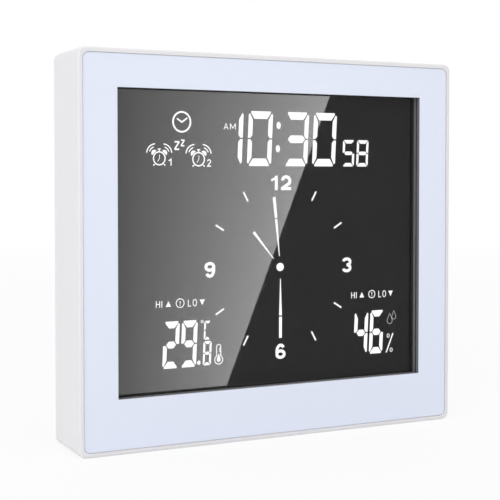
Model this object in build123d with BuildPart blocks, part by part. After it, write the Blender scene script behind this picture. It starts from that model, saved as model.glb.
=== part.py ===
from build123d import *
import os
from math import cos, radians, sin, tan

os.makedirs("parts", exist_ok=True)

# Thermometer hygrometer clock, millimetres. The front faces -Y and it stands on z = 0.
# A depth is measured backwards from the front of the rim. A height in the sections below is
# measured from the middle of the case, and so is a position across it.

# Case
case_width = 172.0
case_height = 158.0
case_depth = 32.0
case_corner_radius = 3.0
case_wall = 2.6
rim_width = 1.8
recess_corner_radius = 2.8
front_edge_radius = 1.15
rear_edge_radius = 1.5
rear_lip_width = 1.6
web_thickness = 1.6

# Bezel panel and its window
panel_step = 0.35
panel_thickness = 2.0
panel_gap = 0.15
panel_edge_radius = 0.25
window_side_border = 16.0
window_top_border = 15.0
window_bottom_border = 21.75
window_edge_radius = 0.12

# Lens, gasket and display stack, front to back
lens_overlap = 3.8
lens_thickness = 1.2
lens_fit = 0.2
gasket_thickness = 1.6
gasket_set_back = 0.2
glass_overlap = 3.0
glass_thickness = 0.7
contact_ledge = 2.8
film_thickness = 0.2
film_margin = 0.6
diffuser_thickness = 0.3
guide_thickness = 2.0

# Light bars
led_count = 8
led_gap = 0.3
led_depth = 1.6
led_length = 3.5
led_height = 1.6
led_board_thickness = 1.0
led_board_margin = 4.0

# Display holder
pocket_clearance = 0.3
holder_wall = 1.5
holder_floor = 1.0
floor_side_margin = 18.0
floor_top_margin = 12.0
floor_post_margin = 2.0
ear_radius = 3.4
ear_reach = 3.0
ear_thickness = 2.0
ear_inset = 16.8
holder_post_radius = 2.6

# Main board and what it carries
board_side_margin = 1.0
board_height = 48.0
board_thickness = 1.0
board_standoff = 0.5
board_post_radius = 3.0
board_screw_inset = 6.0
board_screw_row_inset = 8.0
board_inner_screw_offset = 14.0
board_margin_below_display = 2.4
strip_end_margin = 4.0
strip_width = 1.8
strip_clearance = 0.2
controller_radius = 7.0
controller_height = 1.6
controller_edge_radius = 1.2
crystal_radius = 1.0
crystal_length = 6.0
capacitor_radius = 2.5
capacitor_height = 7.0
capacitor_pitch = 9.0
capacitor_count = 2
resistor_length = 2.0
resistor_width = 1.25
resistor_height = 0.6
resistor_pitch = 4.0
resistor_columns = 5
resistor_rows = 2
resistor_inset = 14.0
socket_width = 6.0
socket_height = 5.0
socket_depth = 4.0
socket_offset = 25.0

# Screws
head_radius = 2.7
head_height = 1.2
shank_radius = 1.45
small_head_radius = 1.9
small_head_height = 1.2
small_shank_radius = 1.0
drive_slot_length = 2.4
drive_slot_width = 0.5
drive_slot_depth = 0.7
thread_clearance = 0.05
case_screw_length = 9.0
holder_screw_length = 5.0
screw_tip_gap = 0.2
key_screw_length = 5.0

# Rear cover
cover_recess = 0.3
cover_thickness = 2.2
cover_gap = 0.15
boss_inset = 6.0
boss_radius = 3.6
boss_hole_depth = 12.0
screw_well_radius = 2.9
screw_well_depth = 1.25
screw_hole_radius = 1.6
keyhole_spacing = 80.0
keyhole_drop = 17.0
keyhole_radius = 4.2
keyhole_slot_width = 4.4
keyhole_slot_length = 8.0

# Moving gaps
moving_clearance = 0.3
running_clearance = 0.05
overrun = 1.0

# Keys in their tray
key_row_drop = 46.0
tray_depth = 1.2
tray_end_margin = 5.5
tray_height = 12.0
key_height = 6.5
key_width = 11.0
wide_key_width = 24.0
inner_key_offset = 26.0
outer_key_offset = 46.0
key_face_below_cover = 0.2
key_edge_radius = 0.5
key_travel = 0.5
flange_lip = 1.2
flange_thickness = 0.8
key_post_radius = 1.6
key_post_length = 1.8
mark_length = 3.4
mark_width = 0.7
mark_height = 0.15
stem_radius = 1.7
stem_above_switch = 1.0
stem_in_switch = 1.2
switch_width = 6.0
switch_height = 3.5
key_board_end_margin = 2.0
key_board_height = 12.0
key_stand_radius = 2.3

# Sounder
buzzer_inset = 30.0
buzzer_drop_below_keys = 22.5
buzzer_radius = 13.5
buzzer_thickness = 0.3
buzzer_ceramic_radius = 10.0
buzzer_ceramic_thickness = 0.25
buzzer_ledge_radius = 12.0
buzzer_ring_wall = 1.2
buzzer_ring_height = 2.5
buzzer_ledge_height = 1.2
sound_hole_radius = 0.9
sound_hole_ring_radius = 4.5
sound_hole_count = 8

# Sensor
sensor_foot_margin = 34.0
sensor_board_width = 16.0
sensor_board_height = 12.0
sensor_board_thickness = 1.0
sensor_chip_width = 3.0
sensor_chip_height = 1.0
sensor_post_radius = 2.0
sensor_post_height = 4.0
sensor_post_offset = 6.0
sensor_peg_radius = 0.95
sensor_peg_length = 1.6
vent_length = 26.0
vent_width = 1.8
vent_first_offset = 4.0
vent_pitch = 3.5
vent_rows = 3

# Kickstand
stand_width = 36.0
stand_foot_margin = 17.0
stand_drop_below_keys = 23.0
stand_thickness = 2.4
stand_corner_radius = 6.0
stand_panel_margin = 4.0
stand_panel_depth = 0.6
stand_grip_width = 16.0
stand_grip_height = 0.9
stand_grip_pitch = 2.2
stand_grip_count = 4
stand_grip_rise = 12.0
stand_pin_radius = 1.0
stand_pin_reach = 4.0
stand_pad_wall = 1.5
stand_pad_side = 6.5
finger_notch_radius = 9.0

# Battery bay, cells and door
cell_radius = 5.25
cell_length = 44.5
cell_nub_radius = 1.9
cell_nub_height = 0.9
cell_edge_radius = 0.4
cell_pitch = 12.2
cell_count = 2
cell_clearance = 0.1
bay_side_margin = 29.0
bay_foot_margin = 20.0
bay_width = 26.0
bay_wall = 1.2
contact_thickness = 0.4
contact_width = 9.0
contact_height = 8.0
spring_reach = 5.1
spring_width = 6.0
spring_bend_radius = 0.6
spring_tip_fall = 0.9
tail_width = 3.0
tail_length = 3.0
tail_depth_offset = 3.0
tail_slot_clearance = 0.2
door_thickness = 1.6
door_seat_gap = 0.1
door_overlap = 2.0
door_flange_thickness = 1.3
door_flange_border = 1.5
door_corner_radius = 1.0
lug_width = 6.0
lug_spacing = 16.0
lug_rise = 1.8
lug_radius = 1.0
door_hinge_gap = 0.6
lug_pin_radius = 0.6
lug_pin_length = 1.2
door_grip_width = 14.0
door_grip_height = 0.9
door_grip_pitch = 2.2
door_grip_count = 3
door_grip_rise = 5.0
door_scoop_radius = 6.0
door_scoop_depth = 1.2

# Wires
lead_radius = 0.6
lead_rise = 3.0
lead_pitch = 2.5
buzzer_lead_radius = 0.4
buzzer_lead_pitch = 3.0
buzzer_lead_reach = 4.0
buzzer_lead_fall = 28.0
buzzer_lead_margin = 2.0
ribbon_thickness = 0.4
key_ribbon_width = 10.0
key_ribbon_bend = 6.0
key_ribbon_end = 6.0
key_ribbon_offset = -10.0
sensor_ribbon_width = 6.0
arc_run_share = 0.45

# Depths of the layers, worked out from the sizes above
panel_face = panel_step
panel_back = panel_face + panel_thickness
web_back = panel_back + web_thickness
lens_back = panel_back + lens_thickness
gasket_back = lens_back + gasket_thickness
front_film_back = gasket_back + film_thickness
front_glass_back = front_film_back + glass_thickness
rear_glass_back = front_glass_back + glass_thickness
rear_film_back = rear_glass_back + film_thickness
diffuser_back = rear_film_back + diffuser_thickness
guide_back = diffuser_back + guide_thickness
reflector_back = guide_back + film_thickness
holder_back = reflector_back + holder_floor
board_front = holder_back + board_standoff
board_back = board_front + board_thickness
board_screw_length = board_back - reflector_back - screw_tip_gap
cover_face = case_depth - cover_recess
cover_inner = cover_face - cover_thickness

# Heights and widths shared by several pieces
window_width = case_width - 2 * window_side_border
window_height = case_height - window_top_border - window_bottom_border
window_rise = (window_bottom_border - window_top_border) / 2
recess_width = case_width - 2 * rim_width
recess_height = case_height - 2 * rim_width
cavity_width = case_width - 2 * case_wall
cavity_height = case_height - 2 * case_wall
cavity_corner_radius = case_corner_radius - case_wall
lens_width = window_width + 2 * lens_overlap
lens_height = window_height + 2 * lens_overlap
glass_width = window_width + 2 * glass_overlap
glass_height = window_height + 2 * glass_overlap
stack_height = glass_height - contact_ledge
stack_rise = window_rise + contact_ledge / 2
pocket_width = glass_width + 2 * pocket_clearance
pocket_height = glass_height + 2 * pocket_clearance
holder_width = pocket_width + 2 * holder_wall
holder_height = pocket_height + 2 * holder_wall
ear_offset = holder_height / 2 + ear_reach
ear_back = holder_back - holder_floor
ear_front = ear_back - ear_thickness
strip_rise = window_rise - glass_height / 2 + contact_ledge / 2
board_rise = window_rise - glass_height / 2 - board_margin_below_display + board_height / 2
guide_width = window_width
strip_length = glass_width - 2 * strip_end_margin
board_width = glass_width - 2 * board_side_margin
board_screw_columns = (board_screw_inset - board_width / 2, board_inner_screw_offset)
board_screw_rows = [
    board_rise + end * (board_height / 2 - board_screw_row_inset) for end in (-1, 1)
]
socket_rise = board_rise + board_height / 4
resistor_offset = resistor_inset - board_width / 2
floor_opening_width = pocket_width - 2 * floor_side_margin
floor_opening_top = window_rise + pocket_height / 2 - floor_top_margin
floor_opening_bottom = board_screw_rows[1] + board_post_radius + floor_post_margin
boss_x = case_width / 2 - boss_inset
boss_z = case_height / 2 - boss_inset
case_screw_places = [(x, z) for x in (-boss_x, boss_x) for z in (-boss_z, 0, boss_z)]
ear_places = [
    (side * (holder_width / 2 - ear_inset), window_rise + end * ear_offset)
    for side in (-1, 1)
    for end in (-1, 1)
]
board_screw_places = [(x, z) for x in board_screw_columns for z in board_screw_rows]


def face_plane(depth, across=0, height=0):
    """Plane facing the front at a depth, centred on a point given from the middle of the case."""
    origin = (across, depth - case_depth / 2, case_height / 2 + height)
    return Plane(origin=origin, x_dir=(1, 0, 0), z_dir=(0, -1, 0))


def spot(across, depth, height):
    """Point at a depth, given from the middle of the case."""
    return face_plane(depth, across, height).origin


def side_plane(across, depth, height, facing=1):
    """Plane across the case. Its first axis runs backwards, and its second runs up, or down for -1."""
    return Plane(origin=spot(across, depth, height), x_dir=(0, 1, 0), z_dir=(facing, 0, 0))


def slab(width, height, near, far, across=0, rise=0, radius=0, mode=Mode.ADD):
    """Flat slab between two depths, with round corners where a radius is given."""
    with BuildSketch(face_plane(near, across, rise)) as outline:
        if radius:
            RectangleRounded(width, height, radius)
        else:
            Rectangle(width, height)
    extrude(outline.sketch, amount=near - far, mode=mode)


def disc(radius, near, far, places, mode=Mode.ADD):
    """Round discs between two depths, at places given from the middle of the case."""
    with BuildSketch(face_plane(near)) as outline:
        with Locations(*places):
            Circle(radius)
    extrude(outline.sketch, amount=near - far, mode=mode)


def pill(width, height, near, far, across=0, rise=0, mode=Mode.ADD):
    """Slab with fully round ends between two depths."""
    with BuildSketch(face_plane(near, across, rise)) as outline:
        SlotOverall(width, height)
    extrude(outline.sketch, amount=near - far, mode=mode)


def screw_set(places, seat, toward_back, head, head_length, shank, length):
    """Pan-head screws with a cross recess. The head sits on the seat depth and the shank goes forwards
    from it, or backwards where the head is on the front side of a board."""
    way = -1 if toward_back else 1
    disc(head, seat, seat + way * head_length, places)
    disc(shank, seat, seat - way * length, places)
    top = seat + way * head_length
    with BuildSketch(face_plane(top)) as drive:
        with Locations(*places):
            Rectangle(drive_slot_length, drive_slot_width)
            Rectangle(drive_slot_width, drive_slot_length)
    extrude(drive.sketch, amount=way * drive_slot_depth, mode=Mode.SUBTRACT)


def corner_radii(route):
    """Arc radius at each inner point of a route, as large as its two runs allow."""
    runs = [end - start for start, end in zip(route, route[1:])]
    return [
        arc_run_share * min(before.length, after.length) / tan(radians(before.get_angle(after)) / 2)
        for before, after in zip(runs, runs[1:])
    ]


def wire(route, radius, label):
    """Round wire along straight runs joined by tangent arcs."""
    radii = corner_radii(route)
    with BuildLine() as path:
        FilletPolyline(*route, radius=radii)
    with BuildSketch(Plane(origin=path.line @ 0, z_dir=path.line % 0)) as section:
        Circle(radius)
    sweep(section.sketch, path=path.line)
    length = sum(edge.length for edge in path.line.edges())
    rounded = ", ".join(f"{value:.1f}" for value in radii)
    print(f"{label}: length {length:.1f} mm, bend radii {rounded} mm")


# Front case: a tub with plain side walls, open at the back, with a web behind the panel
with BuildPart() as front_case:
    with BuildSketch(face_plane(0)):
        RectangleRounded(case_width, case_height, case_corner_radius)
    extrude(amount=-case_depth)
    fillet(front_case.faces().sort_by(Axis.Y)[0].edges(), front_edge_radius)
    fillet(front_case.faces().sort_by(Axis.Y)[-1].edges(), rear_edge_radius)
    slab(
        recess_width, recess_height, 0, panel_back, radius=recess_corner_radius, mode=Mode.SUBTRACT
    )
    slab(
        cavity_width,
        cavity_height,
        web_back,
        case_depth,
        radius=cavity_corner_radius,
        mode=Mode.SUBTRACT,
    )
    slab(
        case_width - 2 * rear_lip_width,
        case_height - 2 * rear_lip_width,
        cover_inner,
        case_depth,
        radius=case_corner_radius - rear_lip_width,
        mode=Mode.SUBTRACT,
    )
    slab(
        lens_width + 2 * lens_fit,
        lens_height + 2 * lens_fit,
        panel_back,
        web_back,
        rise=window_rise,
        mode=Mode.SUBTRACT,
    )
    disc(boss_radius, web_back, cover_inner, case_screw_places)
    disc(holder_post_radius, web_back, ear_front, ear_places)
    disc(
        shank_radius + thread_clearance,
        cover_inner - boss_hole_depth,
        cover_inner,
        case_screw_places,
        mode=Mode.SUBTRACT,
    )
    disc(
        small_shank_radius + thread_clearance,
        ear_back - holder_screw_length,
        ear_front,
        ear_places,
        mode=Mode.SUBTRACT,
    )
front_case.part.label = "front_case"
export_step(front_case.part, "parts/front_case.step")

# Bezel panel: a flat sheet in the recess of the case, with the sharp-cornered window cut in it
panel_width = recess_width - 2 * panel_gap
panel_height = recess_height - 2 * panel_gap
with BuildPart() as bezel_panel:
    slab(
        panel_width, panel_height, panel_face, panel_back, radius=recess_corner_radius - panel_gap
    )
    fillet(bezel_panel.faces().sort_by(Axis.Y)[0].edges(), panel_edge_radius)
    slab(
        window_width, window_height, panel_face, panel_back, rise=window_rise, mode=Mode.SUBTRACT
    )
    window_edges = bezel_panel.faces().sort_by(Axis.Y)[0].inner_wires()[0].edges()
    chamfer(window_edges, window_edge_radius)
bezel_panel.part.label = "bezel_panel"
export_step(bezel_panel.part, "parts/bezel_panel.step")

# Lens: a clear sheet bonded to the back of the panel, inside the opening of the web
with BuildPart() as window_lens:
    slab(lens_width, lens_height, panel_back, lens_back, rise=window_rise)
window_lens.part.label = "window_lens"
export_step(window_lens.part, "parts/window_lens.step")

# Dust gasket: a foam ring between the lens and the display
with BuildPart() as dust_gasket:
    slab(glass_width, glass_height, lens_back, gasket_back, rise=window_rise)
    slab(
        window_width + 2 * gasket_set_back,
        window_height + 2 * gasket_set_back,
        lens_back,
        gasket_back,
        rise=window_rise,
        mode=Mode.SUBTRACT,
    )
dust_gasket.part.label = "dust_gasket"
export_step(dust_gasket.part, "parts/dust_gasket.step")

# Front polarizer: the film that is the visible face of the display
with BuildPart() as front_polarizer:
    slab(
        glass_width - 2 * film_margin,
        glass_height - 2 * film_margin,
        gasket_back,
        front_film_back,
        rise=window_rise,
    )
front_polarizer.part.label = "front_polarizer"
export_step(front_polarizer.part, "parts/front_polarizer.step")

# Liquid crystal cell: the front glass is longer and its lower ledge carries the contacts
with BuildPart() as lcd_front_glass:
    slab(glass_width, glass_height, front_film_back, front_glass_back, rise=window_rise)
lcd_front_glass.part.label = "lcd_front_glass"
export_step(lcd_front_glass.part, "parts/lcd_front_glass.step")

with BuildPart() as lcd_rear_glass:
    slab(glass_width, stack_height, front_glass_back, rear_glass_back, rise=stack_rise)
lcd_rear_glass.part.label = "lcd_rear_glass"
export_step(lcd_rear_glass.part, "parts/lcd_rear_glass.step")

with BuildPart() as rear_polarizer:
    slab(
        glass_width - 2 * film_margin,
        stack_height - 2 * film_margin,
        rear_glass_back,
        rear_film_back,
        rise=stack_rise,
    )
rear_polarizer.part.label = "rear_polarizer"
export_step(rear_polarizer.part, "parts/rear_polarizer.step")

# Backlight: a diffuser sheet, a clear light guide lit at both sides, and a white reflector
with BuildPart() as backlight_diffuser:
    slab(glass_width, stack_height, rear_film_back, diffuser_back, rise=stack_rise)
backlight_diffuser.part.label = "backlight_diffuser"
export_step(backlight_diffuser.part, "parts/backlight_diffuser.step")

with BuildPart() as light_guide:
    slab(guide_width, stack_height, diffuser_back, guide_back, rise=stack_rise)
light_guide.part.label = "light_guide"
export_step(light_guide.part, "parts/light_guide.step")

with BuildPart() as reflector_sheet:
    slab(glass_width, stack_height, guide_back, reflector_back, rise=stack_rise)
reflector_sheet.part.label = "reflector_sheet"
export_step(reflector_sheet.part, "parts/reflector_sheet.step")

# Light bars: a narrow board with lamps at each side of the light guide
led_x = guide_width / 2 + led_gap + led_depth / 2
led_board_x = guide_width / 2 + led_gap + led_depth + led_board_thickness / 2
led_pitch = stack_height / led_count
led_centre = diffuser_back + guide_thickness / 2
with BuildPart() as led_boards:
    for side in (-1, 1):
        slab(
            led_board_thickness,
            stack_height - 2 * led_board_margin,
            diffuser_back,
            guide_back,
            across=side * led_board_x,
            rise=stack_rise,
        )
led_boards.part.label = "led_boards"
export_step(led_boards.part, "parts/led_boards.step")

with BuildPart() as backlight_leds:
    for side in (-1, 1):
        for index in range(led_count):
            slab(
                led_depth,
                led_length,
                led_centre - led_height / 2,
                led_centre + led_height / 2,
                across=side * led_x,
                rise=stack_rise + (index - (led_count - 1) / 2) * led_pitch,
            )
backlight_leds.part.label = "backlight_leds"
export_step(backlight_leds.part, "parts/backlight_leds.step")

# Display holder: a shallow tray that presses the stack against the web, with four screw ears
with BuildPart() as lcd_holder:
    slab(holder_width, holder_height, web_back, holder_back, rise=window_rise)
    with BuildSketch(face_plane(ear_front)):
        for across, height in ear_places:
            toward_middle = -1 if height > window_rise else 1
            with Locations((across, height)):
                Circle(ear_radius)
            with Locations((across, height + toward_middle * ear_reach / 2)):
                Rectangle(2 * ear_radius, ear_reach)
    extrude(amount=-ear_thickness)
    slab(
        pocket_width,
        pocket_height,
        web_back,
        reflector_back,
        rise=window_rise,
        mode=Mode.SUBTRACT,
    )
    slab(
        floor_opening_width,
        floor_opening_top - floor_opening_bottom,
        reflector_back,
        holder_back,
        rise=(floor_opening_top + floor_opening_bottom) / 2,
        mode=Mode.SUBTRACT,
    )
    slab(
        strip_length + 2 * strip_clearance,
        strip_width + 2 * strip_clearance,
        reflector_back,
        holder_back,
        rise=strip_rise,
        mode=Mode.SUBTRACT,
    )
    disc(board_post_radius, holder_back, board_front, board_screw_places)
    disc(
        small_shank_radius + thread_clearance,
        reflector_back,
        board_front,
        board_screw_places,
        mode=Mode.SUBTRACT,
    )
    disc(
        small_shank_radius + thread_clearance,
        ear_front,
        ear_back,
        ear_places,
        mode=Mode.SUBTRACT,
    )
lcd_holder.part.label = "lcd_holder"
export_step(lcd_holder.part, "parts/lcd_holder.step")

with BuildPart() as holder_screws:
    screw_set(
        ear_places,
        ear_back,
        False,
        small_head_radius,
        small_head_height,
        small_shank_radius,
        holder_screw_length,
    )
holder_screws.part.label = "holder_screws"
export_step(holder_screws.part, "parts/holder_screws.step")

# Contact strip: stands on the glass ledge and meets the pads of the board
with BuildPart() as contact_strip:
    slab(strip_length, strip_width, front_glass_back, board_front, rise=strip_rise)
contact_strip.part.label = "contact_strip"
export_step(contact_strip.part, "parts/contact_strip.step")

# Main board and the parts soldered to its back
with BuildPart() as main_board:
    slab(board_width, board_height, board_front, board_back, rise=board_rise)
    disc(
        small_shank_radius + thread_clearance,
        board_front,
        board_back,
        board_screw_places,
        mode=Mode.SUBTRACT,
    )
main_board.part.label = "main_board"
export_step(main_board.part, "parts/main_board.step")

with BuildPart() as board_screws:
    screw_set(
        board_screw_places,
        board_back,
        False,
        small_head_radius,
        small_head_height,
        small_shank_radius,
        board_screw_length,
    )
board_screws.part.label = "board_screws"
export_step(board_screws.part, "parts/board_screws.step")

controller_place = (-2 * controller_radius, board_rise)
with BuildPart() as controller_cap:
    disc(controller_radius, board_back, board_back + controller_height, [controller_place])
    fillet(controller_cap.faces().sort_by(Axis.Y)[-1].edges(), controller_edge_radius)
controller_cap.part.label = "controller_cap"
export_step(controller_cap.part, "parts/controller_cap.step")

with BuildPart() as clock_crystal:
    crystal_depth = board_back + crystal_radius + running_clearance
    with BuildSketch(side_plane(crystal_length, crystal_depth, board_rise + crystal_length)):
        Circle(crystal_radius)
    extrude(amount=crystal_length / 2, both=True)
clock_crystal.part.label = "clock_crystal"
export_step(clock_crystal.part, "parts/clock_crystal.step")

with BuildPart() as board_capacitors:
    disc(
        capacitor_radius,
        board_back,
        board_back + capacitor_height,
        [
            (-index * capacitor_pitch, board_rise - 2 * capacitor_pitch)
            for index in range(capacitor_count)
        ],
    )
board_capacitors.part.label = "board_capacitors"
export_step(board_capacitors.part, "parts/board_capacitors.step")

with BuildPart() as board_resistors:
    for column in range(resistor_columns):
        for row in range(resistor_rows):
            slab(
                resistor_length,
                resistor_width,
                board_back,
                board_back + resistor_height,
                across=resistor_offset + column * resistor_pitch,
                rise=board_rise - row * resistor_pitch,
            )
board_resistors.part.label = "board_resistors"
export_step(board_resistors.part, "parts/board_resistors.step")

# Socket: the battery leads enter it from above
with BuildPart() as lead_socket:
    slab(
        socket_width,
        socket_height,
        board_back,
        board_back + socket_depth,
        across=socket_offset,
        rise=socket_rise,
    )
lead_socket.part.label = "lead_socket"
export_step(lead_socket.part, "parts/lead_socket.step")

# Sizes of the battery bay and its door
bay_length = cell_length + spring_reach + contact_thickness + 2 * cell_clearance
bay_offset = case_width / 2 - bay_side_margin
bay_rise = bay_foot_margin + bay_length / 2 - case_height / 2
door_inner = cover_face - door_thickness
door_seat = door_inner - door_seat_gap
cell_depth = door_inner - cell_radius - moving_clearance
bay_floor = cell_depth - cell_radius - moving_clearance
bay_outer_floor = bay_floor - bay_wall
bay_end = {1: bay_rise + bay_length / 2, -1: bay_rise - bay_length / 2}
door_width = bay_width + 2 * door_overlap
door_height = bay_length + 2 * door_overlap
door_recess_width = door_width + 2 * moving_clearance
door_recess_height = door_height + moving_clearance + door_hinge_gap
door_recess_rise = bay_rise + (door_hinge_gap - moving_clearance) / 2
lug_height = bay_rise + door_height / 2 + lug_rise
lug_depth = cover_face - lug_radius - door_seat_gap
lug_places = [bay_offset + side * lug_spacing / 2 for side in (-1, 1)]
cell_places = [bay_offset + (index - (cell_count - 1) / 2) * cell_pitch for index in range(cell_count)]
tail_depth = bay_floor + tail_depth_offset

# Sizes of the kickstand, its recess and its hinge
key_rise = case_height / 2 - key_row_drop
stand_hinge_rise = key_rise - stand_drop_below_keys
stand_tip = stand_foot_margin - case_height / 2
stand_length = stand_hinge_rise - stand_tip
stand_inner = cover_face - stand_thickness
stand_floor = stand_inner - moving_clearance
stand_groove_radius = stand_thickness + moving_clearance
stand_recess_width = stand_width + 2 * moving_clearance
stand_hinge_pad_front = stand_inner - stand_groove_radius - stand_pad_wall
stand_middle = (stand_hinge_rise + stand_tip) / 2
stand_pad_bottom = stand_tip - finger_notch_radius - stand_pad_wall

# Sizes of the keys, from the face of the cap inwards
key_face = cover_face - key_face_below_cover
tray_floor = cover_face - tray_depth
flange_back = cover_inner - moving_clearance
flange_front = flange_back - flange_thickness
key_post_end = flange_front - key_post_length
switch_back = key_post_end - stem_above_switch
switch_front = switch_back - switch_height
key_board_front = switch_front - board_thickness
keys = {
    "set": (-outer_key_offset, key_width),
    "alarm": (-inner_key_offset, key_width),
    "snooze": (0, wide_key_width),
    "down": (inner_key_offset, key_width),
    "up": (outer_key_offset, key_width),
}
key_places = [(across, key_rise) for across, width in keys.values()]
tray_width = 2 * outer_key_offset + key_width + 2 * tray_end_margin
key_board_width = tray_width - 2 * key_board_end_margin
gap_beside_wide_key = (wide_key_width / 2 + inner_key_offset - key_width / 2) / 2
gap_beside_outer_key = (inner_key_offset + outer_key_offset) / 2
key_post_places = [
    (side * offset, key_rise)
    for side in (-1, 1)
    for offset in (gap_beside_wide_key, gap_beside_outer_key)
]

# Rear cover: an inset plate with the bay, the stand recess, the key tray, keyholes and vents
buzzer_offset = buzzer_inset - case_width / 2
buzzer_rise = key_rise - buzzer_drop_below_keys
buzzer_place = (buzzer_offset, buzzer_rise)
sensor_offset = buzzer_offset
sensor_rise = sensor_foot_margin - case_height / 2
with BuildPart() as rear_cover:
    slab(
        case_width - 2 * (rear_lip_width + cover_gap),
        case_height - 2 * (rear_lip_width + cover_gap),
        cover_inner,
        cover_face,
        radius=case_corner_radius - rear_lip_width - cover_gap,
    )
    # Thicker places inside: under the stand, at its hinge, round the bay and at the door's seat
    slab(
        stand_recess_width + 2 * stand_pad_wall,
        stand_hinge_rise - stand_pad_bottom,
        stand_floor - stand_pad_wall,
        cover_inner,
        rise=(stand_hinge_rise + stand_pad_bottom) / 2,
    )
    slab(
        stand_recess_width + 2 * stand_pad_side,
        2 * (stand_groove_radius + stand_pad_wall),
        stand_hinge_pad_front,
        cover_inner,
        rise=stand_hinge_rise,
    )
    slab(
        bay_width + 2 * bay_wall,
        bay_length + 2 * bay_wall,
        bay_outer_floor,
        cover_inner,
        across=bay_offset,
        rise=bay_rise,
    )
    slab(
        door_recess_width + 2 * door_flange_border,
        door_recess_height + 2 * (door_flange_border + lug_rise + lug_radius),
        cover_inner - door_flange_thickness,
        cover_inner,
        across=bay_offset,
        rise=door_recess_rise,
    )
    # Stands for the key board and the sensor board, and the sounder's ring
    disc(key_stand_radius, switch_front, cover_inner, key_post_places)
    sensor_posts = [(sensor_offset + side * sensor_post_offset, sensor_rise) for side in (-1, 1)]
    sensor_seat = cover_inner - sensor_post_height
    disc(sensor_post_radius, sensor_seat, cover_inner, sensor_posts)
    disc(sensor_peg_radius, sensor_seat - sensor_peg_length, sensor_seat, sensor_posts)
    buzzer_bore = buzzer_radius + pocket_clearance
    buzzer_seat = cover_inner - buzzer_ledge_height
    disc(
        buzzer_bore + buzzer_ring_wall,
        cover_inner - buzzer_ring_height,
        cover_inner,
        [buzzer_place],
    )
    disc(
        buzzer_ledge_radius,
        cover_inner - buzzer_ring_height,
        cover_inner,
        [buzzer_place],
        mode=Mode.SUBTRACT,
    )
    disc(
        buzzer_bore,
        cover_inner - buzzer_ring_height,
        buzzer_seat,
        [buzzer_place],
        mode=Mode.SUBTRACT,
    )
    # Recess for the stand, the round groove for its barrel, and a notch for a finger under its tip
    slab(
        stand_recess_width,
        stand_length + moving_clearance,
        stand_floor,
        cover_face,
        rise=stand_middle - moving_clearance / 2,
        mode=Mode.SUBTRACT,
    )
    with BuildSketch(side_plane(0, stand_inner, stand_hinge_rise)):
        Circle(stand_groove_radius)
    extrude(amount=stand_recess_width / 2, both=True, mode=Mode.SUBTRACT)
    disc(
        finger_notch_radius,
        stand_floor,
        cover_face,
        [(0, stand_tip)],
        mode=Mode.SUBTRACT,
    )
    with BuildSketch(side_plane(0, stand_inner, stand_hinge_rise)):
        Circle(stand_pin_radius + running_clearance)
    extrude(amount=stand_recess_width / 2 + stand_pin_reach, both=True, mode=Mode.SUBTRACT)
    # Battery bay, the seat of its door, hinge notches with pin holes, and slots for the tails
    slab(
        bay_width,
        bay_length,
        bay_floor,
        cover_face,
        across=bay_offset,
        rise=bay_rise,
        mode=Mode.SUBTRACT,
    )
    slab(
        door_recess_width,
        door_recess_height,
        door_seat,
        cover_face,
        across=bay_offset,
        rise=door_recess_rise,
        radius=door_corner_radius + moving_clearance,
        mode=Mode.SUBTRACT,
    )
    lug_notch = lug_radius + moving_clearance
    for across in lug_places:
        slab(
            lug_width + 2 * moving_clearance,
            lug_rise + lug_notch,
            lug_depth - lug_notch,
            cover_face,
            across=across,
            rise=lug_height + (lug_notch - lug_rise) / 2,
            mode=Mode.SUBTRACT,
        )
        with BuildSketch(side_plane(across, lug_depth, lug_height)):
            Circle(lug_pin_radius + running_clearance)
        extrude(
            amount=lug_width / 2 + lug_pin_length + 2 * moving_clearance,
            both=True,
            mode=Mode.SUBTRACT,
        )
    disc(
        door_scoop_radius,
        cover_face - door_scoop_depth,
        cover_face,
        [(bay_offset, door_recess_rise - door_recess_height / 2)],
        mode=Mode.SUBTRACT,
    )
    for across in cell_places:
        slab(
            tail_width + 2 * tail_slot_clearance,
            bay_wall,
            tail_depth - contact_thickness / 2 - tail_slot_clearance,
            tail_depth + contact_thickness / 2 + tail_slot_clearance,
            across=across,
            rise=bay_end[1] + bay_wall / 2,
            mode=Mode.SUBTRACT,
        )
    # Key tray with one hole for each key
    pill(tray_width, tray_height, tray_floor, cover_face, rise=key_rise, mode=Mode.SUBTRACT)
    for across, width in keys.values():
        pill(
            width + 2 * moving_clearance,
            key_height + 2 * moving_clearance,
            cover_inner,
            tray_floor,
            across=across,
            rise=key_rise,
            mode=Mode.SUBTRACT,
        )
    disc(
        small_shank_radius + thread_clearance,
        switch_front,
        switch_front + key_screw_length,
        key_post_places,
        mode=Mode.SUBTRACT,
    )
    # Sound holes over the sounder and vents over the sensor
    sound_hole_places = [buzzer_place] + [
        (
            buzzer_offset + sound_hole_ring_radius * cos(radians(index * 360 / sound_hole_count)),
            buzzer_rise + sound_hole_ring_radius * sin(radians(index * 360 / sound_hole_count)),
        )
        for index in range(sound_hole_count)
    ]
    disc(sound_hole_radius, cover_inner, cover_face, sound_hole_places, mode=Mode.SUBTRACT)
    for side in (-1, 1):
        for row in range(vent_rows):
            pill(
                vent_length,
                vent_width,
                cover_inner,
                cover_face,
                across=sensor_offset,
                rise=sensor_rise + side * (vent_first_offset + row * vent_pitch),
                mode=Mode.SUBTRACT,
            )
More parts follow.
